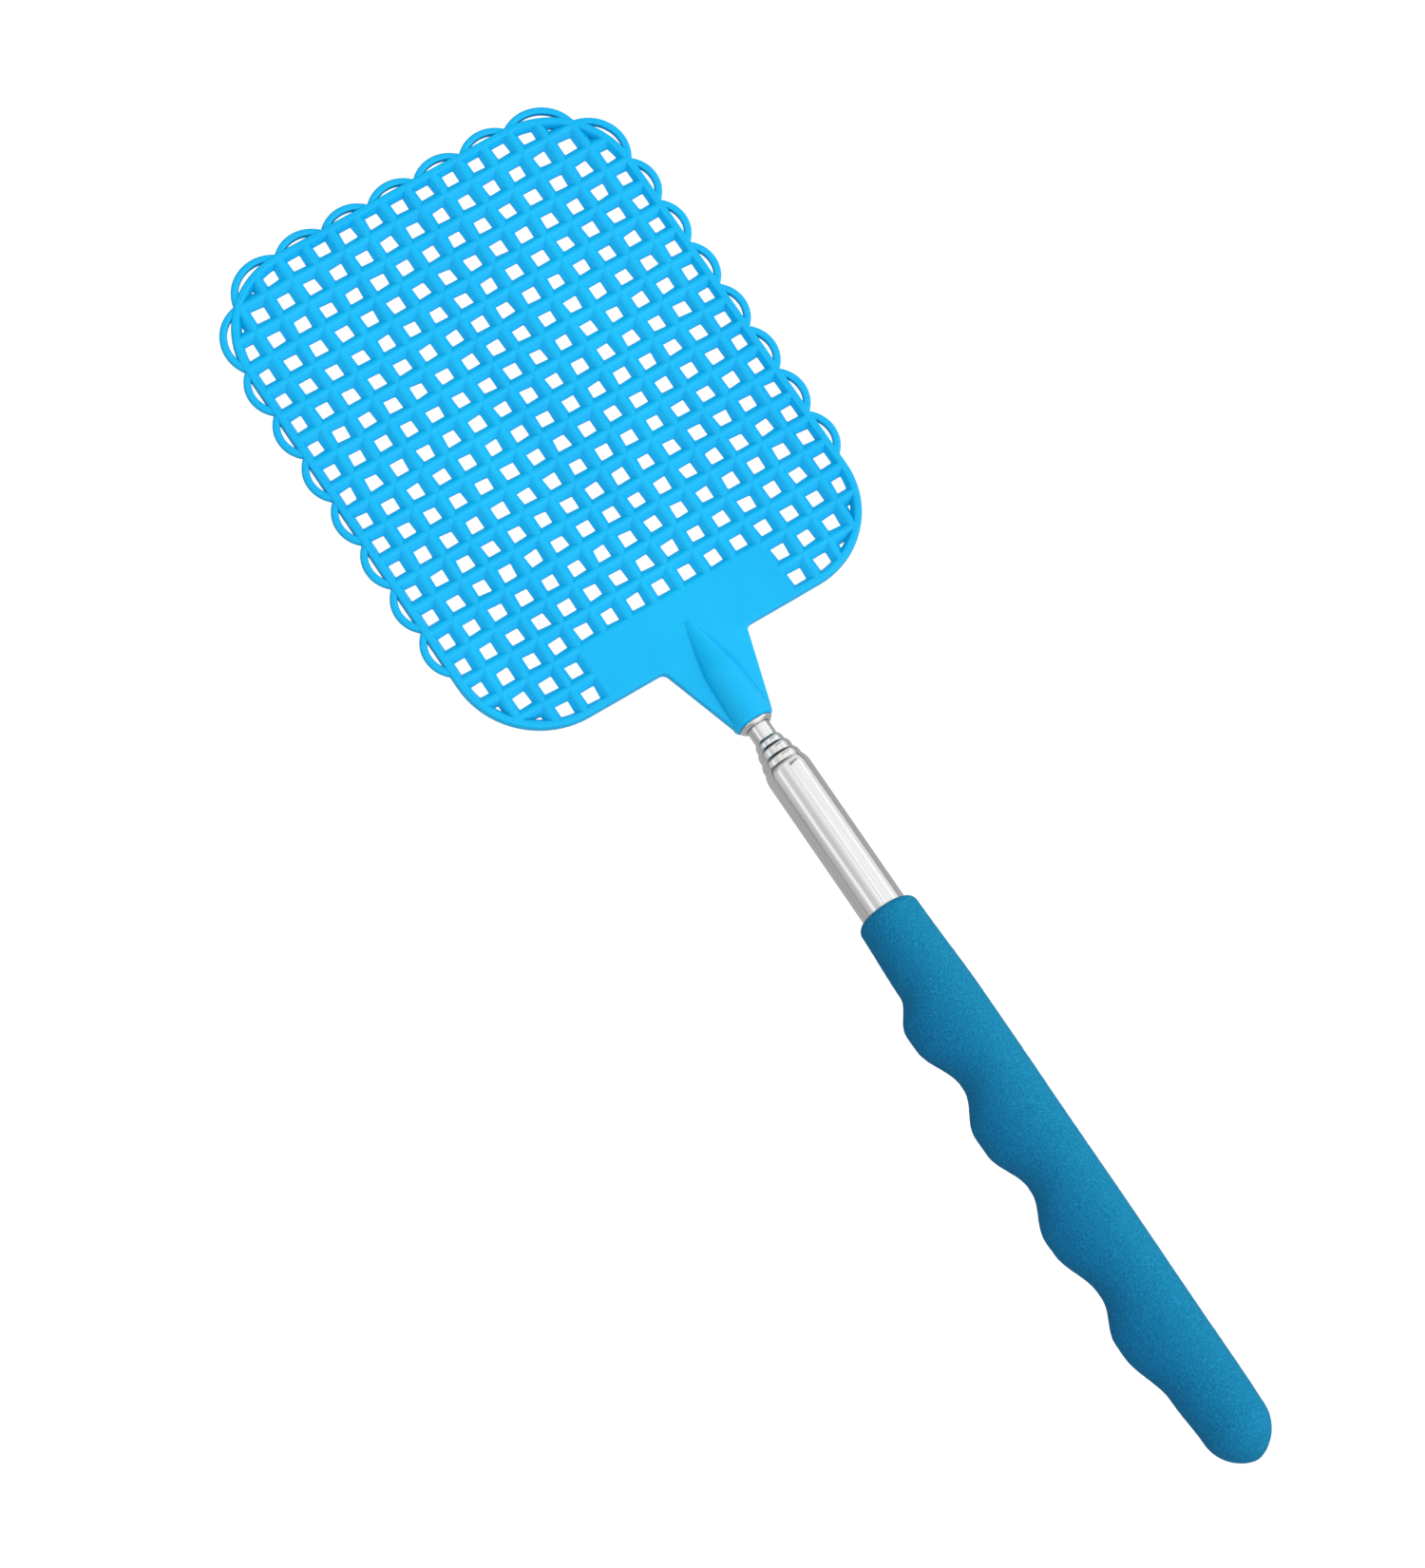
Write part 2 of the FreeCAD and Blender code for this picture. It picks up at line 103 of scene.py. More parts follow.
NECK_ROOT_HALF_WIDTH = 9.6
NECK_FILLET = 1.5
NECK_STEP = 1.2
NECK_ROUNDING = 0.35
NECK_LOWER_ROUNDING = 0.15
MITER_LIMIT = 2.0           # how much longer a step outwards may be at a corner of the neck's edge
MOUTH_STATION = 75.7
SOCKET_RADIUS = 4.4
SOCKET_EDGE = 1.0
NOSE = [(0.0, 50.2, 0.0), (1.3, 51.0, 1.0), (3.85, 63.0, 12.0)]   # radius, station and rounding
SOCKET_BORE_DEPTH = 13.0
SOCKET_BORE_OVERRUN = 1.0   # how far the cutter for the bore stands out of the mouth

# ---- sizes: rod ----
TUBE_COUNT = 5
TUBE_1_RADIUS = 2.45
TUBE_STEP = 0.58
TUBE_WALL = 0.28
RUNNING_CLEARANCE = 0.05
LIP_STATIONS = {2: 79.8, 3: 81.6, 4: 83.9, 5: 86.0}
LIP_LENGTHS = {2: 1.2, 3: 1.2, 4: 1.2, 5: 2.1}
LIP_EDGE = 0.14
TUBE_1_TOP_STATION = 63.4
FOOT_STATION = 201.2
FOOT_THICKNESS = 0.6
TUBE_5_END = 209.4
FERRULE_RADIUS = 2.95
FERRULE_DEPTH = 12.0
FLANGE_RADIUS = 3.5
FLANGE_EDGE = 0.4
FLANGE_NOSE_RADIUS = 2.95
FLANGE_LENGTH = 0.9
FLANGE_SEAT_ROUNDING = 0.1
FLANGE_ROUNDING = 0.15

# ---- sizes: grip ----
GRIP_STATION = 121.2
BUTT_STATION = 248.6
GRIP_HALF_THICKNESS = 6.8
GRIP_RIM_ROUNDING = 1.8
GRIP_BORE_END = 210.4
DOME_LENGTH = 7.9
DOME_SHARPNESS = 1.2        # 1 is round; more is more pointed
# Station and reach of the finger side, eased from each point to the next: two points for a broad crest.
FINGER_SIDE = [
    (121.2, 6.5), (136.8, 7.05), (144.4, 10.5), (147.5, 10.46), (157.8, 7.05), (158.6, 7.05),
    (168.3, 10.66), (171.9, 10.62), (181.5, 7.49), (182.2, 7.49), (192.4, 10.8), (194.9, 10.75),
    (205.7, 7.92), (206.8, 7.92), (216.0, 10.84), (218.4, 10.84), (230.5, 8.1), (241.0, 7.5), (248.6, 7.4),
]
# The same for the straight palm side.
PALM_SIDE = [(121.2, 6.35), (145.0, 6.95), (185.0, 6.75), (230.0, 6.45), (248.6, 6.1)]
GRIP_SPACING = 0.4          # between rings of the foam's mesh
GRIP_POINTS = 112           # around each ring
FOAM_GRAIN = 0.035          # height of the foam's modelled grain
GRAIN_LAYERS = [(1.3, 1.0), (2.9, 0.6)]   # fineness of each layer of the grain, and its share
GRAIN_DEPTH = 1.0           # how far the grain is sunk below the smooth skin, in grain heights

# The rod's axis and the middle of the lattice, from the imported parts.
tube_low, tube_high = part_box("tube_5")
AXIS_Z = (tube_low.z + tube_high.z) / 2.0 / MM
LATTICE_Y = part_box("swatter_head")[1].y / MM - TOP_REACH

# ---- view: in metres, the lens in millimetres ----
CAMERA_TARGET = Vector((-0.01398, 0.01258, 0.0068))
CAMERA_DISTANCE = 1.28283
CAMERA_AZIMUTH = math.radians(-43.365)
CAMERA_ELEVATION = math.radians(68.467)
CAMERA_ROLL = math.radians(11.023)
CAMERA_LENS = 152.73

# ---- studio: in metres, the light's power in watts ----
FLOOR_HEIGHT = -0.06
FLOOR_HALF_SIZE = 8.0
FLOOR_SEEN = 1.1            # brightness of the floor in the picture
FLOOR_LIGHT = 0.5           # brightness of the floor as the object's surroundings
SKY_SEEN = 1.1
SKY_STRENGTH = 1.38
# Brightness of the room and of the soft screens over the rod, by angle in degrees from overhead towards +X.
ROOM = [(-90, 0.22), (-50, 0.52), (0, 0.92), (50, 0.92), (90, 0.7)]
SCREENS = [
    (-90, 0.48), (-70, 0.5), (-62, 0.64), (-57, 1.0), (-52, 1.0), (-46, 0.64), (-30, 0.5), (-18, 0.72),
    (-6, 0.86), (5, 0.72), (11, 0.16), (34, 0.06), (44, 0.04), (57, 0.1), (66, 0.72), (76, 0.78), (90, 0.56),
]
# How far the screens replace the room, and how bright the room is, by how much a direction points along +Y.
SCREEN_SHARES = [(0.0, 0.0), (0.12, 1.0), (0.45, 1.0), (0.6, 0.0)]
ROOM_SHARES = [(0.0, 1.0), (0.6, 1.0), (0.8, 0.06), (1.0, 0.03)]
FLOOR_SHARES = [(0.2, 1.0), (0.5, 0.1)]   # brightness of the floor as surroundings, by metres along +Y
KEY_PLACE = (0.9, 0.2, 1.2)
KEY_WIDTH = 0.9
KEY_HEIGHT = 1.6
KEY_POWER = 4.9


# ---------------------------------------------------------------- mesh tools

def new_object(name, points, faces):
    """A mesh in millimetres, closed up at its doubled points and with its faces turned outwards."""
    mesh = bpy.data.meshes.new(name)
    mesh.from_pydata([tuple(p) for p in points], [], faces)
    made = bmesh.new()
    made.from_mesh(mesh)
    bmesh.ops.remove_doubles(made, verts=made.verts, dist=DOUBLED_POINTS)
    bmesh.ops.dissolve_degenerate(made, edges=made.edges, dist=EMPTY_EDGE)
    bmesh.ops.recalc_face_normals(made, faces=made.faces)
    made.to_mesh(mesh)
    made.free()
    obj = bpy.data.objects.new(name, mesh)
    bpy.context.scene.collection.objects.link(obj)
    return obj


def apply_modifiers(obj):
    graph = bpy.context.evaluated_depsgraph_get()
    mesh = bpy.data.meshes.new_from_object(obj.evaluated_get(graph))
    obj.modifiers.clear()
    obj.data = mesh


def combine(target, tool, operation):
    """Joins a tool to the target, cuts it away, or keeps what they share."""
    step = target.modifiers.new("combine", "BOOLEAN")
    step.solver = "MANIFOLD"
    step.operation = operation
    step.object = tool
    apply_modifiers(target)
    bpy.data.objects.remove(tool)


def finished(obj, body, node, material, sharp_angle):
    """Scales a piece to metres, smooths it and puts it on its body in place of its CAD node."""
    obj.data.transform(Matrix.Scale(MM, 4))
    obj.data.polygons.foreach_set("use_smooth", [True] * len(obj.data.polygons))
    obj.data.set_sharp_from_angle(angle=math.radians(sharp_angle))
    obj.data.materials.clear()
    obj.data.materials.append(material)
    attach(obj, body)
    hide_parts(node)
    return obj


def rounded(corners, steps=3, closed=True):
    """An outline whose corners, given as (x, y, radius), are rounded with arcs."""
    points = []
    for number, (x, y, radius) in enumerate(corners):
        corner = Vector((x, y))
        at_end = number in (0, len(corners) - 1) and not closed
        if radius == 0.0 or at_end:
            points.append(corner)
            continue
        before = (Vector(corners[number - 1][:2]) - corner).normalized()
        after = (Vector(corners[(number + 1) % len(corners)][:2]) - corner).normalized()
        half = before.angle(after) / 2.0
        centre = corner + (before + after).normalized() * (radius / math.sin(half))
        start = corner + before * (radius / math.tan(half)) - centre
        end = corner + after * (radius / math.tan(half)) - centre
        for step in range(steps + 1):
            points.append(centre + start.normalized().slerp(end.normalized(), step / steps) * radius)
    return points


def strip(rings, closed):
    """The faces between rings of points that all have the same count, numbered ring by ring."""
    count = len(rings[0])
    faces = []
    last = len(rings) if closed else len(rings) - 1
    for number in range(last):
        near = number * count
        far = (number + 1) % len(rings) * count
        for point in range(count):
            following = (point + 1) % count
            faces.append((near + point, near + following, far + following, far + point))
    return faces


def swept(name, path, section, closed=False):
    """A section of (outward, height) points carried along a flat path of (place, outward direction)."""
    rings = []
    for place, outward in path:
        flat = [place + outward * out for out, height in section]
        rings.append([(p.x, p.y, height) for p, (out, height) in zip(flat, section)])
    faces = strip(rings, closed)
    if not closed:
        count = len(section)
        faces.append(tuple(range(count)))
        faces.append(tuple((len(rings) - 1) * count + number for number in range(count)))
    return new_object(name, [p for ring in rings for p in ring], faces)


def plate(name, path, edge):
    """A flat plate with the path as its outline; its edge is (outward, height) points from below to above."""
    rings = [[(*(place + outward * out), height) for place, outward in path] for out, height in edge]
    faces = strip(rings, False)
    count = len(path)
    faces.append(tuple(range(count)))
    faces.append(tuple((len(rings) - 1) * count + number for number in range(count)))
    return new_object(name, [p for ring in rings for p in ring], faces)


def turned(name, outline, steps=96):
    """A solid turned about the rod's axis from an outline of (radius, station) points."""
    rings = []
    for number in range(steps):
        turn = 2.0 * math.pi * number / steps
        rings.append([(r * math.cos(turn), LATTICE_Y - s, r * math.sin(turn)) for r, s in outline])
    faces = []
    count = len(outline)
    for number in range(steps):
        near = number * count
        far = (number + 1) % steps * count
        for point in range(count):
            following = (point + 1) % count
            faces.append((near + point, near + following, far + following, far + point))
    return new_object(name, [p for ring in rings for p in ring], faces)


def raised(obj):
    """Lifts a piece drawn about the rod's axis to the axis's height."""
    obj.data.transform(Matrix.Translation((0.0, 0.0, AXIS_Z)))
    return obj


# ---------------------------------------------------------------- materials

class Shader:
    """A node material under construction, with short calls for the nodes that the materials share."""

    def __init__(self, name):
        self.material = bpy.data.materials.new(name)
        self.material.use_nodes = True
        self.nodes = self.material.node_tree.nodes
        self.links = self.material.node_tree.links
        self.surface = self.nodes["Principled BSDF"]
        self.place = self.nodes.new("ShaderNodeTexCoord").outputs["Object"]

    def link(self, start, end):
        self.links.new(start, end)

    def stretched(self, scale):
        """The object's own coordinates, in metres, scaled along each axis."""
        mapping = self.nodes.new("ShaderNodeMapping")
        mapping.inputs["Scale"].default_value = scale
        self.link(self.place, mapping.inputs["Vector"])
        return mapping.outputs["Vector"]

    def noise(self, size, detail=3.0, roughness=0.5, stretch=(1.0, 1.0, 1.0)):
        """Noise whose grains measure size millimetres, times stretch along each axis."""
        texture = self.nodes.new("ShaderNodeTexNoise")
        texture.inputs["Scale"].default_value = 1.0
        texture.inputs["Detail"].default_value = detail
        texture.inputs["Roughness"].default_value = roughness
        scale = [1.0 / (size * MM * along) for along in stretch]
        self.link(self.stretched(scale), texture.inputs["Vector"])
        return texture.outputs["Fac"]

    def cells(self, size):
        """Distance to the nearest of many scattered points, size millimetres apart."""
        texture = self.nodes.new("ShaderNodeTexVoronoi")
        texture.inputs["Scale"].default_value = 1.0
        self.link(self.stretched([1.0 / (size * MM)] * 3), texture.inputs["Vector"])
        return texture.outputs["Distance"]

    def across(self, left, right):
        """A share that goes from 0 to 1 between two places, in millimetres, across the object."""
        split = self.nodes.new("ShaderNodeSeparateXYZ")
        self.link(self.place, split.inputs["Vector"])
        share = self.nodes.new("ShaderNodeMapRange")
        share.inputs["From Min"].default_value = left * MM
        share.inputs["From Max"].default_value = right * MM
        self.link(split.outputs["X"], share.inputs["Value"])
        return share.outputs["Result"]

    def ramp(self, value, stops):
        """Colours or greys by value: each stop is (position, colour)."""
        node = self.nodes.new("ShaderNodeValToRGB")
        while len(node.color_ramp.elements) < len(stops):
            node.color_ramp.elements.new(0.5)
        for element, (position, colour) in zip(node.color_ramp.elements, stops):
            element.position = position
            element.color = (*colour, 1.0)
        self.link(value, node.inputs["Fac"])
        return node.outputs["Color"]

    def between(self, value, low, high):
        """A number from low to high as value goes from 0 to 1."""
        node = self.nodes.new("ShaderNodeMapRange")
        node.inputs["To Min"].default_value = low
        node.inputs["To Max"].default_value = high
        self.link(value, node.inputs["Value"])
        return node.outputs["Result"]

    def mixed(self, share, first, second, blend="MIX"):
        node = self.nodes.new("ShaderNodeMix")
        node.data_type = "RGBA"
        node.blend_type = blend
        self.set_or_link(node.inputs["Factor"], share)
        self.set_or_link(node.inputs["A"], first, colour=True)
        self.set_or_link(node.inputs["B"], second, colour=True)
        return node.outputs["Result"]

    def set_or_link(self, socket, value, colour=False):
        if isinstance(value, bpy.types.NodeSocket):
            self.link(value, socket)
        else:
            socket.default_value = (*value, 1.0) if colour else value

    def with_painted_crease_shade(self, colour, reach, darkest):
        """The colour with painted shade: darkened to a share of itself in gaps and creases narrower than
        reach millimetres.
        """
        node = self.nodes.new("ShaderNodeAmbientOcclusion")
        node.samples = 8
        node.inputs["Distance"].default_value = reach * MM
        low = (darkest, darkest, darkest)
        shade = self.ramp(node.outputs["AO"], [(0.3, low), (0.85, (1.0, 1.0, 1.0))])
        return self.mixed(1.0, colour, shade, blend="MULTIPLY")

    def bump(self, height, distance, below=None):
        """Bump from a height of 0 to 1 that stands for distance millimetres, laid on the bump below it."""
        node = self.nodes.new("ShaderNodeBump")
        node.inputs["Strength"].default_value = 1.0
        node.inputs["Distance"].default_value = distance * MM
        self.link(height, node.inputs["Height"])
        if below:
            self.link(below, node.inputs["Normal"])
        return node.outputs["Normal"]

    def finish(self, colour, roughness, normal, **constants):
        self.link(colour, self.surface.inputs["Base Color"])
        self.link(roughness, self.surface.inputs["Roughness"])
        self.link(normal, self.surface.inputs["Normal"])
        for name, value in constants.items():
            self.surface.inputs[name.replace("_", " ")].default_value = value
        return self.material


def srgb(red, green, blue):
    """A colour given in screen values from 0 to 255, as the shader's linear numbers."""
    shares = (red / 255.0, green / 255.0, blue / 255.0)
    return tuple(s / 12.92 if s <= 0.04045 else ((s + 0.055) / 1.055) ** 2.4 for s in shares)


def moulded_plastic():
    """Sky-blue polyethylene: uneven gloss, faint flow marks, a fine moulded skin and painted shade that
    darkens its creases.
    """
    shader = Shader("sky_blue_moulded_plastic")
    flow = shader.noise(14.0, detail=4.0, stretch=(1.0, 2.5, 1.0))
    tint = shader.ramp(flow, [(0.3, srgb(2, 184, 247)), (0.7, srgb(6, 193, 252))])
    # Painted shade: the colour darkened in creases and narrow gaps, down to 0.6 of itself.
    colour = shader.with_painted_crease_shade(tint, 1.8, 0.6)
    skin = shader.noise(0.5, detail=4.0)
    roughness = shader.between(skin, 0.26, 0.42)
    normal = shader.bump(skin, 0.012, below=shader.bump(flow, 0.06))
    return shader.finish(
        colour, roughness, normal, Subsurface_Weight=0.1, Subsurface_Scale=0.001,
        Specular_IOR_Level=0.2,
    )


def drawn_steel():
    """Bright drawn steel: lengthwise draw lines, fine specks, faint smudges and painted shade that darkens
    its creases.
    """
    shader = Shader("drawn_bright_steel")
    lines = shader.noise(0.3, detail=4.0, roughness=0.6, stretch=(1.0, 120.0, 1.0))
    specks = shader.noise(0.35, detail=3.0, stretch=(1.0, 2.0, 1.0))
    smudge = shader.noise(6.0, detail=3.0, stretch=(1.0, 2.0, 1.0))
    streaked = shader.ramp(lines, [(0.3, srgb(206, 206, 206)), (0.7, srgb(238, 238, 238))])
    smudged = shader.mixed(shader.between(smudge, 0.0, 0.35), streaked, srgb(220, 220, 219))
    # Painted shade: the colour darkened almost to black in creases and gaps narrower than 0.6 mm.
    colour = shader.with_painted_crease_shade(smudged, 0.6, 0.05)
    roughness = shader.mixed(0.5, shader.between(smudge, 0.12, 0.22), shader.between(specks, 0.10, 0.24))
    normal = shader.bump(specks, 0.0015, below=shader.bump(lines, 0.0012))
    return shader.finish(colour, roughness, normal, Metallic=1.0, Anisotropic=0.3)


def turned_brass():
    shader = Shader("turned_brass")
    rings = shader.noise(0.12, detail=4.0, stretch=(30.0, 1.0, 30.0))
    colour = shader.ramp(rings, [(0.3, srgb(176, 140, 72)), (0.7, srgb(214, 180, 108))])
    roughness = shader.between(rings, 0.22, 0.4)
    return shader.finish(colour, roughness, shader.bump(rings, 0.01), Metallic=1.0)


def spring_bronze():
    shader = Shader("spring_bronze")
    grain = shader.noise(0.15, detail=4.0, stretch=(1.0, 25.0, 1.0))
    colour = shader.ramp(grain, [(0.3, srgb(150, 96, 58)), (0.7, srgb(196, 138, 92))])
    roughness = shader.between(grain, 0.25, 0.45)
    return shader.finish(colour, roughness, shader.bump(grain, 0.008), Metallic=1.0)


def black_plastic():
    shader = Shader("black_moulded_plastic")
    grain = shader.noise(0.25, detail=4.0)
    colour = shader.ramp(grain, [(0.3, srgb(24, 24, 26)), (0.7, srgb(40, 40, 43))])
    roughness = shader.between(grain, 0.45, 0.65)
    return shader.finish(colour, roughness, shader.bump(grain, 0.03))


def closed_cell_foam():
    """Matte foam: fine open skin pores with painted shade in them, paler worn grains, and painted shade that
    darkens the colour towards the finger side.
    """
    shader = Shader("blue_closed_cell_foam")
    pores = shader.cells(0.45)
    grains = shader.noise(0.42, detail=5.0, roughness=0.7)
    patches = shader.noise(9.0, detail=3.0)
    blues = [(0.3, srgb(12, 121, 164)), (0.52, srgb(26, 148, 193)), (0.72, srgb(56, 178, 223))]
    body = shader.ramp(grains, blues)
    uneven = shader.mixed(shader.between(patches, 0.0, 0.4), body, srgb(20, 142, 187))
    # Painted shade: the colour darkened, and made bluer, towards the finger side at -X.
    painted_side_shade = shader.ramp(shader.across(-8.0, 6.0), [(0.0, (0.55, 0.61, 0.75)), (1.0, (1.0, 1.0, 1.0))])
    side_shaded_colour = shader.mixed(1.0, uneven, painted_side_shade, blend="MULTIPLY")
    # Painted shade in the pores: the colour darker towards each pore's middle.
    shaded = shader.ramp(pores, [(0.0, (0.55, 0.55, 0.55)), (0.3, (1.0, 1.0, 1.0))])
    colour = shader.mixed(0.7, side_shaded_colour, shaded, blend="MULTIPLY")
    roughness = shader.between(grains, 0.8, 0.95)
    normal = shader.bump(grains, 0.14, below=shader.bump(pores, 0.12))
    return shader.finish(colour, roughness, normal, Specular_IOR_Level=0.12)


# ---------------------------------------------------------------- head

def rim_path(inset=0.0, steps=20):
    """The rim's outer edge, moved inwards by inset, going round anticlockwise."""
    radius = RIM_RADIUS - inset
    path = []
    corners = [(1, 1, RIM_TOP, 0), (-1, 1, RIM_TOP, 1), (-1, -1, RIM_BOTTOM, 2), (1, -1, RIM_BOTTOM, 3)]
    for side, end, reach, quarter in corners:
        centre = Vector((side * (RIM_HALF_WIDTH - RIM_RADIUS), LATTICE_Y + end * (reach - RIM_RADIUS)))
        for step in range(steps + 1):
            turn = math.pi / 2.0 * (quarter + step / steps)
            outward = Vector((math.cos(turn), math.sin(turn)))
            path.append((centre + outward * radius, outward))
    return path


def pit_profile():
    """From the middle of a rib's crest down a pit's wall and through its hole, as (half width, height)."""
    bottom = PLATE_TOP - PLATE_THICKNESS
    half_hole = HOLE_WIDTH / 2.0
    corners = [
        (PITCH / 2.0, PLATE_TOP, 0.0),
        ((PITCH - CREST_WIDTH) / 2.0, PLATE_TOP, 0.0),
        ((PITCH - SHOULDER_WIDTH) / 2.0, PLATE_TOP - SHOULDER_DROP, SHOULDER_ROUNDING),
        (half_hole, PLATE_TOP - FUNNEL_DEPTH, THROAT_ROUNDING),
        (half_hole, bottom, UNDERSIDE_ROUNDING),
        (PITCH / 2.0, bottom, 0.0),
    ]
    return rounded(corners, closed=False)


def pit_ring(centre, half, height, skew=NO_SKEW):
    """A square ring round a pit. Skew moves its rounded corners, more the nearer they are to the hole."""
    share = max(0.0, (PITCH / 2.0 - half) / ((PITCH - HOLE_WIDTH) / 2.0))
    cut = HOLE_CORNER * (CREST_CORNER + (1.0 - CREST_CORNER) * share)
    inner = cut * (1.0 - share * (1.0 - math.sqrt(0.5)))
    ring = []
    for (across, along), stray in zip(((1, 1), (-1, 1), (-1, -1), (1, -1)), skew):
        near = Vector((across * half, along * (half - cut)))
        far = Vector((across * (half - cut), along * half))
        tip = Vector((across * (half - cut + inner), along * (half - cut + inner)))
        order = (near, tip, far) if across * along > 0 else (far, tip, near)
        place = centre + stray * share
        ring += [(place.x + p.x, place.y + p.y, height) for p in order]
    return ring


def lattice():
    """The whole grid of ribs, past the rim on every side, closed above and below; solid in the web."""
    profile = pit_profile()
    bottom = PLATE_TOP - PLATE_THICKNESS
    half_columns = COLUMNS // 2 + 1
    half_rows = ROWS // 2 + 1
    chance = random.Random(MOULD_SEED)
    points = []
    faces = []
    for column in range(-half_columns, half_columns + 1):
        for row in range(-half_rows, half_rows + 1):
            centre = Vector((column * PITCH, LATTICE_Y - row * PITCH))
            solid = abs(centre.x) < WEB_HALF_WIDTH and row * PITCH > WEB_TOP
            first = len(points)
            if solid:
                top = pit_ring(centre, PITCH / 2.0, PLATE_TOP)
                points += top + [(x, y, bottom) for x, y, z in top]
                faces.append(tuple(first + number for number in range(len(top))))
                faces.append(tuple(first + len(top) + number for number in range(len(top))))
            else:
                strays = [[chance.uniform(-HOLE_SKEW, HOLE_SKEW) for _ in range(2)] for _ in NO_SKEW]
                skew = [Vector(stray) for stray in strays]
                rings = [pit_ring(centre, half, height, skew) for half, height in profile]
                points += [p for ring in rings for p in ring]
                faces += [tuple(first + corner for corner in face) for face in strip(rings, False)]
            edges = {(1, 0): column == half_columns, (-1, 0): column == -half_columns}
            edges.update({(0, -1): row == half_rows, (0, 1): row == -half_rows})
            for (across, along), outermost in edges.items():
                if outermost:
                    skirt = skirt_points(centre, across, along)
                    first_skirt = len(points)
                    for (x, y), (next_x, next_y) in zip(skirt, skirt[1:]):
                        points += [(x, y, PLATE_TOP), (next_x, next_y, PLATE_TOP)]
                        points += [(next_x, next_y, bottom), (x, y, bottom)]
                        faces.append(tuple(range(first_skirt, first_skirt + 4)))
                        first_skirt += 4
    return new_object("lattice", points, faces)


def skirt_points(centre, across, along):
    """The points of a cell's ring that lie on one of its outer edges, in order."""
    ring = pit_ring(centre, PITCH / 2.0, 0.0)
    reach = PITCH / 2.0
    if across:
        on_edge = [(x, y) for x, y, z in ring if abs(x - centre.x - across * reach) < ON_EDGE]
    else:
        on_edge = [(x, y) for x, y, z in ring if abs(y - centre.y - along * reach) < ON_EDGE]
    return sorted(on_edge)


def rim():
    """The band round the lattice, with a rounded top and a sloping inner wall."""
    top = PLATE_TOP
    bottom = PLATE_TOP - PLATE_THICKNESS
    section = rounded([
        (0.0, bottom, RIM_LOWER_ROUNDING),
        (0.0, top, RIM_ROUNDING),
        (-RIM_CREST, top, RIM_ROUNDING),
        (-RIM_FOOT, top - FUNNEL_DEPTH, THROAT_ROUNDING),
        (-RIM_FOOT, bottom, UNDERSIDE_ROUNDING),
    ], steps=4)
    return swept("rim", rim_path(), section, closed=True)


def loop_spans():
    """The start, outermost and end point of each scalloped loop."""
    spans = []
    corner_y = LATTICE_Y + RIM_TOP - RIM_RADIUS
    for side in (1, -1):
        edge = side * RIM_HALF_WIDTH
        for number in range(LOOPS_PER_SIDE):
            start = corner_y - number * LOOP_SPACING
            middle = Vector((edge + side * LOOP_REACH, start - LOOP_SPACING / 2.0))
            spans.append((Vector((edge, start)), middle, Vector((edge, start - LOOP_SPACING))))
        centre = Vector((side * (RIM_HALF_WIDTH - RIM_RADIUS), corner_y))
        for number in range(LOOPS_PER_CORNER):
            points = []
            for share, reach in ((0.0, 0.0), (0.5, LOOP_REACH), (1.0, 0.0)):
                turn = math.pi / 2.0 * (number + share) / LOOPS_PER_CORNER
                outward = Vector((side * math.cos(turn), math.sin(turn)))
                points.append(centre + outward * (RIM_RADIUS + reach))
            spans.append(tuple(points))
    top = LATTICE_Y + RIM_TOP
    for number in range(LOOPS_ON_TOP):
        start = (number - LOOPS_ON_TOP / 2.0) * LOOP_SPACING
        middle = Vector((start + LOOP_SPACING / 2.0, LATTICE_Y + TOP_REACH))
        spans.append((Vector((start, top)), middle, Vector((start + LOOP_SPACING, top))))
    return spans


def circle_through(a, b, c):
    """The centre of the circle through three points."""
    ab = b - a
    ac = c - a
    turn = 2.0 * (ab.x * ac.y - ab.y * ac.x)
    x = (ac.y * ab.length_squared - ab.y * ac.length_squared) / turn
    y = (ab.x * ac.length_squared - ac.x * ab.length_squared) / turn
    return a + Vector((x, y))


def loop(start, peak, end):
    """One thin loop: a rounded strip bent round an arc, its ends sunk in the rim."""
    centre = circle_through(start, peak, end)
    radius = (start - centre).length
    first = start - centre
    whole_turn = first.angle_signed(peak - centre) + (peak - centre).angle_signed(end - centre)
    path = []
    for step in range(LOOP_STEPS + 1):
        share = -LOOP_OVERRUN + (1.0 + 2.0 * LOOP_OVERRUN) * step / LOOP_STEPS
        outward = Matrix.Rotation(-whole_turn * share, 2) @ first
        outward.normalize()
        path.append((centre + outward * radius, outward))
    middle = PLATE_TOP - PLATE_THICKNESS / 2.0
    low = middle - LOOP_THICKNESS / 2.0
    high = middle + LOOP_THICKNESS / 2.0
    section = rounded([
        (0.0, low, LOOP_ROUNDING),
        (0.0, high, LOOP_ROUNDING),
        (-LOOP_WIDTH, high, LOOP_ROUNDING),
        (-LOOP_WIDTH, low, LOOP_ROUNDING),
    ])
    return swept("loop", path, section)


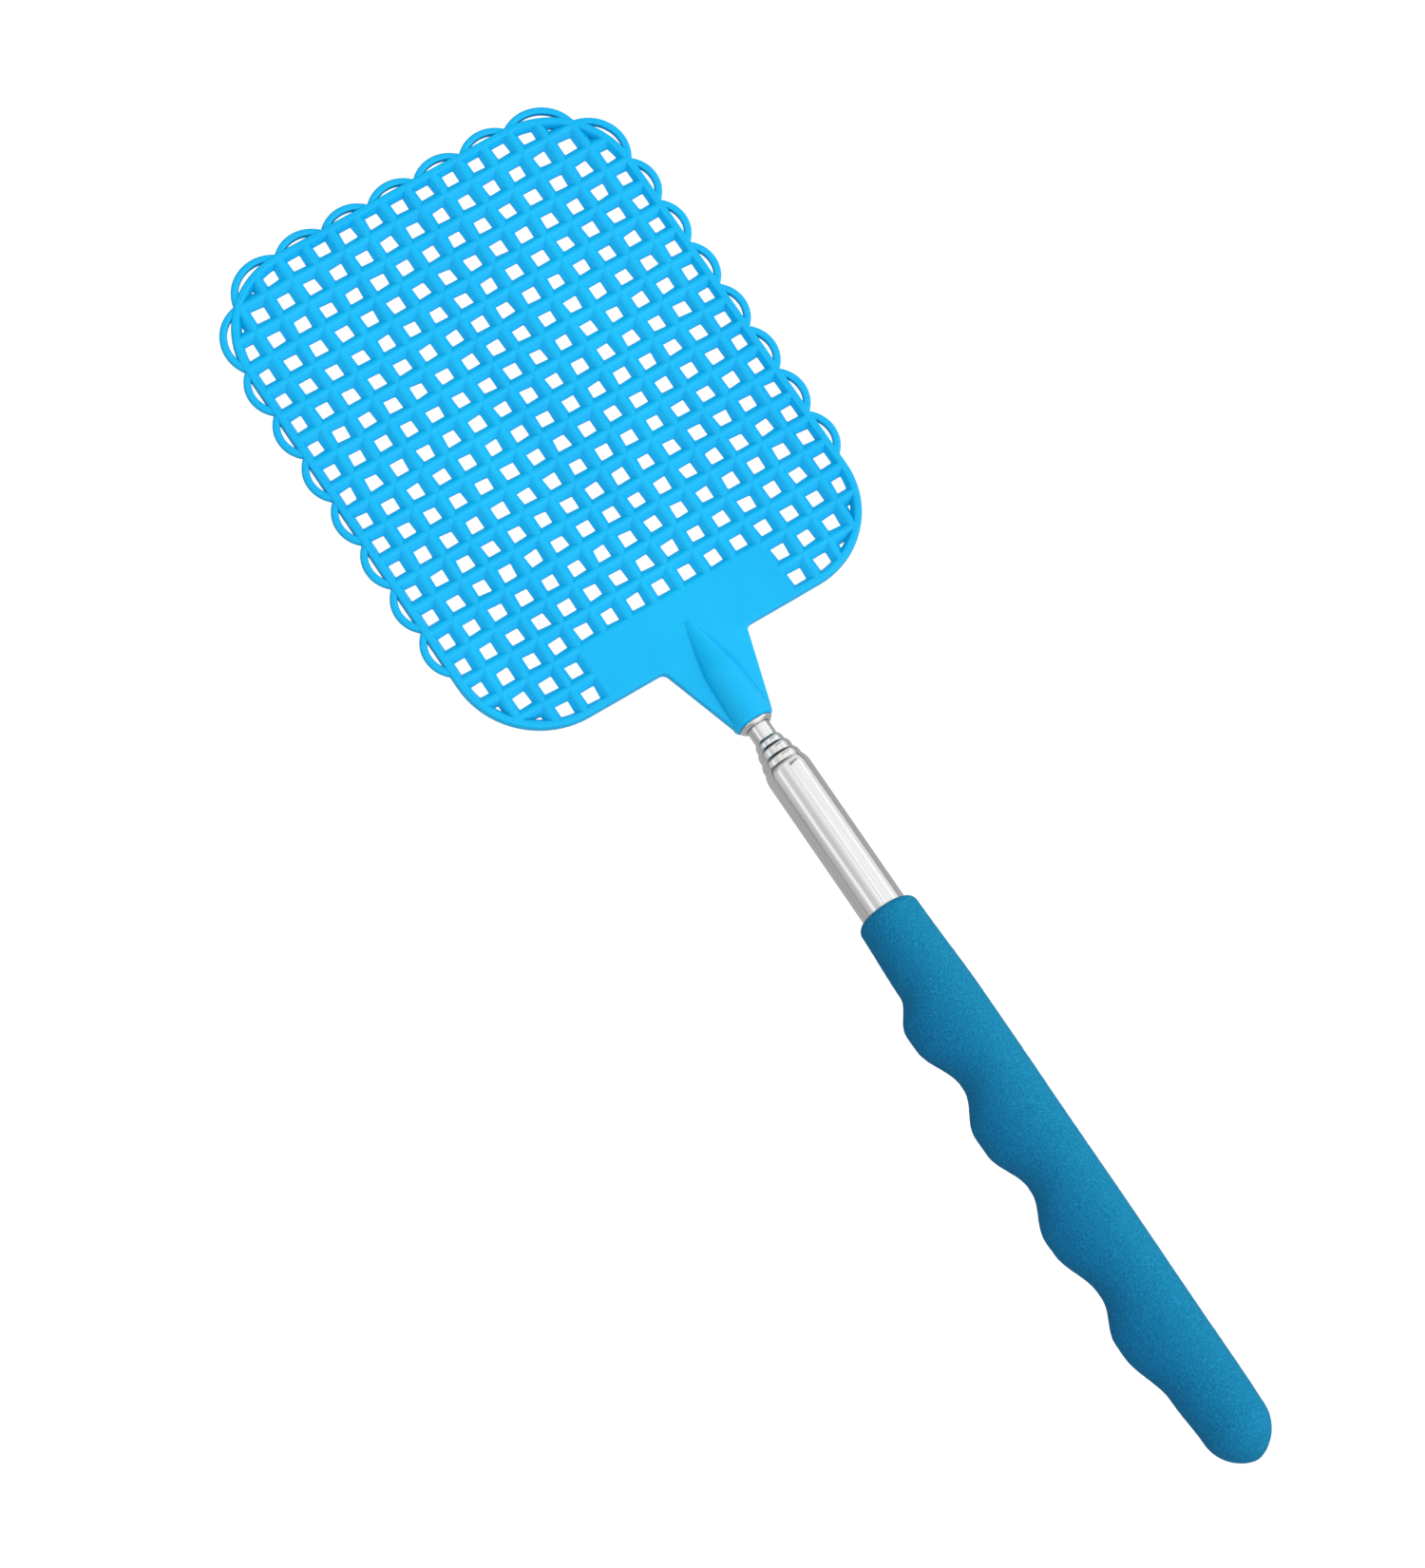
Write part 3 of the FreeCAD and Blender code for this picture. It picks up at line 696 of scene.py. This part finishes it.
def neck():
    """The flat neck between the rim and the socket, filleted at its root and softened along its edges."""
    end = LATTICE_Y - (MOUTH_STATION - NECK_STEP)
    root = LATTICE_Y - RIM_BOTTOM
    inside = root + RIM_CREST
    right = [
        (RIM_HALF_WIDTH / 2.0, inside, 0.0),
        (RIM_HALF_WIDTH / 2.0, root, 0.0),
        (NECK_ROOT_HALF_WIDTH, root, NECK_FILLET),
        (SOCKET_RADIUS, end, 0.0),
    ]
    left = [(-x, y, radius) for x, y, radius in reversed(right)]
    outline = rounded(right + left, steps=8)
    path = []
    for number, here in enumerate(outline):
        before = outline[number - 1]
        after = outline[(number + 1) % len(outline)]
        one = (here - before).normalized()
        two = (after - here).normalized()
        normal = Vector((one.y, -one.x)) + Vector((two.y, -two.x))
        normal.normalize()
        miter = 1.0 / max(1.0 / MITER_LIMIT, normal.dot(Vector((one.y, -one.x))))
        path.append((here, -normal * miter))
    bottom = PLATE_TOP - PLATE_THICKNESS
    # The first and the last point only give the roundings their direction.
    edge = rounded([
        (-1.0, bottom, 0.0),
        (0.0, bottom, NECK_LOWER_ROUNDING),
        (0.0, PLATE_TOP, NECK_ROUNDING),
        (-1.0, PLATE_TOP, 0.0),
    ], steps=4, closed=False)
    return plate("neck", path, edge[1:-1])


def socket():
    """The round socket with its tapering nose and rounded mouth, without its bore."""
    end = [(SOCKET_RADIUS, MOUTH_STATION, SOCKET_EDGE), (0.0, MOUTH_STATION, 0.0)]
    return turned("socket", rounded(NOSE + end, steps=8, closed=False), steps=192)


def swatter_head(material):
    """The whole moulding as one closed mesh."""
    head = lattice()
    above_and_below = [(0.0, -PLATE_THICKNESS * 2), (0.0, PLATE_THICKNESS * 2)]
    inside = plate("inside", rim_path(RIM_CREST * LATTICE_INSET), above_and_below)
    combine(head, inside, "INTERSECT")
    band = rim()
    for span in loop_spans():
        combine(band, loop(*span), "UNION")
    combine(head, band, "UNION")
    combine(head, neck(), "UNION")
    combine(head, socket(), "UNION")
    depth = MOUTH_STATION - SOCKET_BORE_DEPTH
    mouth = MOUTH_STATION + SOCKET_BORE_OVERRUN
    bore = [(0.0, depth), (FERRULE_RADIUS, depth), (FERRULE_RADIUS, mouth), (0.0, mouth)]
    combine(head, turned("bore", bore), "DIFFERENCE")
    head.name = "moulded_head"
    raised(head)
    return finished(head, "head", "swatter_head", material, sharp_angle=35.0)


# ---------------------------------------------------------------- rod

def tube_radius(number):
    return TUBE_1_RADIUS + (number - 1) * TUBE_STEP


def bore_radius(number):
    return tube_radius(number) - TUBE_WALL


def shoulder(tip, end, steps=10):
    """An arc of (radius, station) points from a rolled lip's tip that runs on smoothly into the side."""
    rise = end[0] - tip[0]
    run = end[1] - tip[1]
    radius = (rise ** 2 + run ** 2) / (2.0 * rise)
    whole = math.asin(run / radius)
    turns = [whole * (1.0 - step / steps) for step in range(steps + 1)]
    return [(end[0] - radius + radius * math.cos(t), end[1] - radius * math.sin(t)) for t in turns]


def tube_outline(number):
    """A tube's section: rolled lip, side, spread foot and bore."""
    outer = tube_radius(number)
    inner = bore_radius(number)
    if number == 1:
        top = [(inner, TUBE_1_TOP_STATION), (outer, TUBE_1_TOP_STATION)]
    else:
        tip = LIP_STATIONS[number]
        end = tip + LIP_LENGTHS[number]
        hole = tube_radius(number - 1) + RUNNING_CLEARANCE
        within = shoulder((hole, tip + TUBE_WALL), (inner, end))
        outside = shoulder((hole + LIP_EDGE, tip), (outer, end))
        top = list(reversed(within)) + [(hole, tip)] + outside
    if number == TUBE_COUNT:
        return top + [(outer, TUBE_5_END), (inner, TUBE_5_END)]
    foot = bore_radius(number + 1) - RUNNING_CLEARANCE
    spread = FOOT_STATION - FOOT_THICKNESS
    return top + [(outer, spread), (foot, spread), (foot, FOOT_STATION), (inner, FOOT_STATION)]


def rod(material):
    """The five tubes and the ferrule, turned."""
    bodies = {1: "head", 2: "stage_2", 3: "stage_3", 4: "stage_4", 5: "handle"}
    for number, body in bodies.items():
        tube = raised(turned(f"steel_tube_{number}", tube_outline(number), steps=128))
        finished(tube, body, f"tube_{number}", material, sharp_angle=38.0)
    outline = rounded([
        (TUBE_1_RADIUS, MOUTH_STATION - FERRULE_DEPTH, 0.0),
        (FERRULE_RADIUS, MOUTH_STATION - FERRULE_DEPTH, 0.0),
        (FERRULE_RADIUS, MOUTH_STATION, 0.0),
        (FLANGE_RADIUS, MOUTH_STATION, FLANGE_SEAT_ROUNDING),
        (FLANGE_RADIUS, MOUTH_STATION + FLANGE_EDGE, FLANGE_ROUNDING),
        (FLANGE_NOSE_RADIUS, MOUTH_STATION + FLANGE_LENGTH, FLANGE_ROUNDING),
        (TUBE_1_RADIUS, MOUTH_STATION + FLANGE_LENGTH, 0.0),
    ])
    ferrule = raised(turned("flanged_ferrule", outline, steps=128))
    finished(ferrule, "head", "socket_ferrule", material, sharp_angle=38.0)


# ---------------------------------------------------------------- grip

def eased(table, station):
    """The reach at this station, eased from each of the table's points to the next."""
    for (start, low), (end, high) in zip(table, table[1:]):
        if station <= end:
            share = max(0.0, (station - start) / (end - start))
            return low + (high - low) * (1.0 - math.cos(math.pi * share)) / 2.0
    return table[-1][1]


def grip_levels():
    """Stations of the foam's rings, with the share of the full reach and the rim's loss of reach at each."""
    levels = []
    steps = 8
    for step in range(steps + 1):
        turn = math.pi / 2.0 * step / steps
        lost = GRIP_RIM_ROUNDING * (1.0 - math.sin(turn))
        levels.append((GRIP_STATION + GRIP_RIM_ROUNDING * (1.0 - math.cos(turn)), 1.0, lost))
    start = GRIP_STATION + GRIP_RIM_ROUNDING
    end = BUTT_STATION - DOME_LENGTH
    count = round((end - start) / GRIP_SPACING)
    for number in range(1, count + 1):
        levels.append((start + (end - start) * number / count, 1.0, 0.0))
    steps = 36
    for step in range(1, steps + 1):
        turn = math.pi / 2.0 * step / steps
        levels.append((end + DOME_LENGTH * math.sin(turn), max(0.0, math.cos(turn)) ** DOME_SHARPNESS, 0.0))
    return levels


def grip_ring(station, share, lost):
    finger = eased(FINGER_SIDE, station)
    palm = eased(PALM_SIDE, station)
    middle = (palm - finger) / 2.0 * (1.0 - share)
    thick = GRIP_HALF_THICKNESS * share - lost
    ring = []
    for number in range(GRIP_POINTS):
        turn = 2.0 * math.pi * number / GRIP_POINTS
        reach = (palm if math.cos(turn) > 0.0 else finger) * share - lost
        across = middle + reach * math.cos(turn)
        ring.append(Vector((across, LATTICE_Y - station, thick * math.sin(turn))))
    return ring


def foam_grip(material):
    """The foam sleeve: four finger swells, rounded rim, domed end, blind bore and a fine modelled grain."""
    bore = tube_radius(TUBE_COUNT)
    rings = []
    for station in (GRIP_BORE_END, GRIP_STATION):
        turns = [2.0 * math.pi * number / GRIP_POINTS for number in range(GRIP_POINTS)]
        rings.append([Vector((bore * math.cos(t), LATTICE_Y - station, bore * math.sin(t))) for t in turns])
    outside = [grip_ring(*level) for level in grip_levels()]
    for ring in outside[1:-1]:
        for point in ring:
            outward = Vector((point.x, 0.0, point.z)).normalized()
            grain = sum(share * noise.noise(point * fineness) for fineness, share in GRAIN_LAYERS)
            point += outward * FOAM_GRAIN * (grain - GRAIN_DEPTH)
    rings += outside
    faces = strip(rings, False)
    faces.append(tuple(range(GRIP_POINTS)))
    grip = raised(new_object("foam_sleeve", [p for ring in rings for p in ring], faces))
    finished(grip, "handle", "foam_grip", material, sharp_angle=60.0)
    return grip


# ---------------------------------------------------------------- carried-over CAD nodes

def inner_parts():
    """The collars, leaves and plug keep their CAD shapes and get their finishes here."""
    finishes = {"stop_collar": turned_brass(), "spring_leaf": spring_bronze(), "tube_plug": black_plastic()}
    for name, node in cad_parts.items():
        for start, material in finishes.items():
            if name.startswith(start):
                node.data.materials.clear()
                node.data.materials.append(material)


# ---------------------------------------------------------------- studio

def grey_ramp(nodes, links, value, stops):
    """Greys by value from 0 to 1."""
    ramp = nodes.new("ShaderNodeValToRGB")
    while len(ramp.color_ramp.elements) < len(stops):
        ramp.color_ramp.elements.new(0.5)
    for element, (position, level) in zip(ramp.color_ramp.elements, stops):
        element.position = position
        element.color = (level, level, level, 1.0)
    links.new(value, ramp.inputs["Fac"])
    return ramp.outputs["Color"]


def floor():
    """A glowing white table top below the swatter: even to the camera, dimmer along +Y as surroundings."""
    material = bpy.data.materials.new("white_table")
    material.use_nodes = True
    nodes = material.node_tree.nodes
    links = material.node_tree.links
    nodes.clear()
    glow = nodes.new("ShaderNodeEmission")
    glow.inputs["Color"].default_value = (1.0, 1.0, 1.0, 1.0)
    path = nodes.new("ShaderNodeLightPath")
    split = nodes.new("ShaderNodeSeparateXYZ")
    links.new(nodes.new("ShaderNodeTexCoord").outputs["Object"], split.inputs["Vector"])
    dimmed = nodes.new("ShaderNodeMath")
    dimmed.operation = "MULTIPLY"
    links.new(grey_ramp(nodes, links, split.outputs["Y"], FLOOR_SHARES), dimmed.inputs[0])
    dimmed.inputs[1].default_value = FLOOR_LIGHT
    level = nodes.new("ShaderNodeMix")
    level.data_type = "FLOAT"
    links.new(path.outputs["Is Camera Ray"], level.inputs["Factor"])
    links.new(dimmed.outputs["Value"], level.inputs["A"])
    level.inputs["B"].default_value = FLOOR_SEEN
    links.new(level.outputs["Result"], glow.inputs["Strength"])
    output = nodes.new("ShaderNodeOutputMaterial")
    links.new(glow.outputs["Emission"], output.inputs["Surface"])
    mesh = bpy.data.meshes.new("table_top")
    half = FLOOR_HALF_SIZE
    corners = [(-half, -half, FLOOR_HEIGHT), (half, -half, FLOOR_HEIGHT), (half, half, FLOOR_HEIGHT)]
    mesh.from_pydata(corners + [(-half, half, FLOOR_HEIGHT)], [], [(0, 1, 2, 3)])
    mesh.materials.append(material)
    table = bpy.data.objects.new("table_top", mesh)
    bpy.context.scene.collection.objects.link(table)


def surroundings():
    """A pale room, brighter on the right, with long soft screens over the rod; the camera sees it white."""
    world = bpy.data.worlds.new("studio")
    world.use_nodes = True
    bpy.context.scene.world = world
    nodes = world.node_tree.nodes
    links = world.node_tree.links
    place = nodes.new("ShaderNodeTexCoord")
    split = nodes.new("ShaderNodeSeparateXYZ")
    links.new(place.outputs["Generated"], split.inputs["Vector"])
    angle = nodes.new("ShaderNodeMath")
    angle.operation = "ARCTAN2"
    links.new(split.outputs["X"], angle.inputs[0])
    links.new(split.outputs["Z"], angle.inputs[1])
    turn = nodes.new("ShaderNodeMapRange")
    turn.inputs["From Min"].default_value = -math.pi / 2.0
    turn.inputs["From Max"].default_value = math.pi / 2.0
    links.new(angle.outputs["Value"], turn.inputs["Value"])
    greys = []
    for levels in (ROOM, SCREENS):
        stops = [(degrees / 180.0 + 0.5, level) for degrees, level in levels]
        greys.append(grey_ramp(nodes, links, turn.outputs["Result"], stops))
    room, screens = greys
    dimmed = nodes.new("ShaderNodeMath")
    dimmed.operation = "MULTIPLY"
    links.new(room, dimmed.inputs[0])
    links.new(grey_ramp(nodes, links, split.outputs["Y"], ROOM_SHARES), dimmed.inputs[1])
    level = nodes.new("ShaderNodeMix")
    level.data_type = "FLOAT"
    links.new(grey_ramp(nodes, links, split.outputs["Y"], SCREEN_SHARES), level.inputs["Factor"])
    links.new(dimmed.outputs["Value"], level.inputs["A"])
    links.new(screens, level.inputs["B"])
    strength = nodes.new("ShaderNodeMapRange")
    strength.inputs["To Max"].default_value = SKY_STRENGTH
    links.new(level.outputs["Result"], strength.inputs["Value"])
    path = nodes.new("ShaderNodeLightPath")
    seen = nodes.new("ShaderNodeMix")
    seen.data_type = "FLOAT"
    links.new(path.outputs["Is Camera Ray"], seen.inputs["Factor"])
    links.new(strength.outputs["Result"], seen.inputs["A"])
    seen.inputs["B"].default_value = SKY_SEEN
    links.new(seen.outputs["Result"], nodes["Background"].inputs["Strength"])
    nodes["Background"].inputs["Color"].default_value = (1.0, 1.0, 1.0, 1.0)


def softbox(name, place, aim, width, height, power):
    light = bpy.data.lights.new(name, "AREA")
    light.shape = "RECTANGLE"
    light.size = width
    light.size_y = height
    light.energy = power
    obj = bpy.data.objects.new(name, light)
    obj.location = place
    obj.rotation_mode = "QUATERNION"
    obj.rotation_quaternion = (Vector(aim) - Vector(place)).to_track_quat("-Z", "Y")
    bpy.context.scene.collection.objects.link(obj)


def lights():
    """One large soft key light, up on the palm side, aimed at the middle of the swatter."""
    softbox("key", KEY_PLACE, (0.0, 0.0, 0.0), KEY_WIDTH, KEY_HEIGHT, KEY_POWER)


def camera():
    """The camera, aimed at its target from its azimuth and elevation and rolled a little."""
    low = math.cos(CAMERA_ELEVATION)
    back = Vector((
        math.sin(CAMERA_AZIMUTH) * low, -math.cos(CAMERA_AZIMUTH) * low, math.sin(CAMERA_ELEVATION),
    ))
    level = Vector((0.0, 0.0, 1.0)).cross(back).normalized()
    upright = back.cross(level)
    right = level * math.cos(CAMERA_ROLL) + upright * math.sin(CAMERA_ROLL)
    up = back.cross(right)
    place = CAMERA_TARGET + back * CAMERA_DISTANCE
    data = bpy.data.cameras.new("camera")
    data.lens = CAMERA_LENS
    obj = bpy.data.objects.new("camera", data)
    turn = Matrix((right, up, back)).transposed().to_4x4()
    obj.matrix_world = Matrix.Translation(place) @ turn
    bpy.context.scene.collection.objects.link(obj)
    bpy.context.scene.camera = obj


# ---------------------------------------------------------------- everything

steel = drawn_steel()
swatter_head(moulded_plastic())
rod(steel)
foam_grip(closed_cell_foam())
inner_parts()
floor()
surroundings()
lights()
camera()
bpy.context.scene.view_settings.view_transform = "Standard"
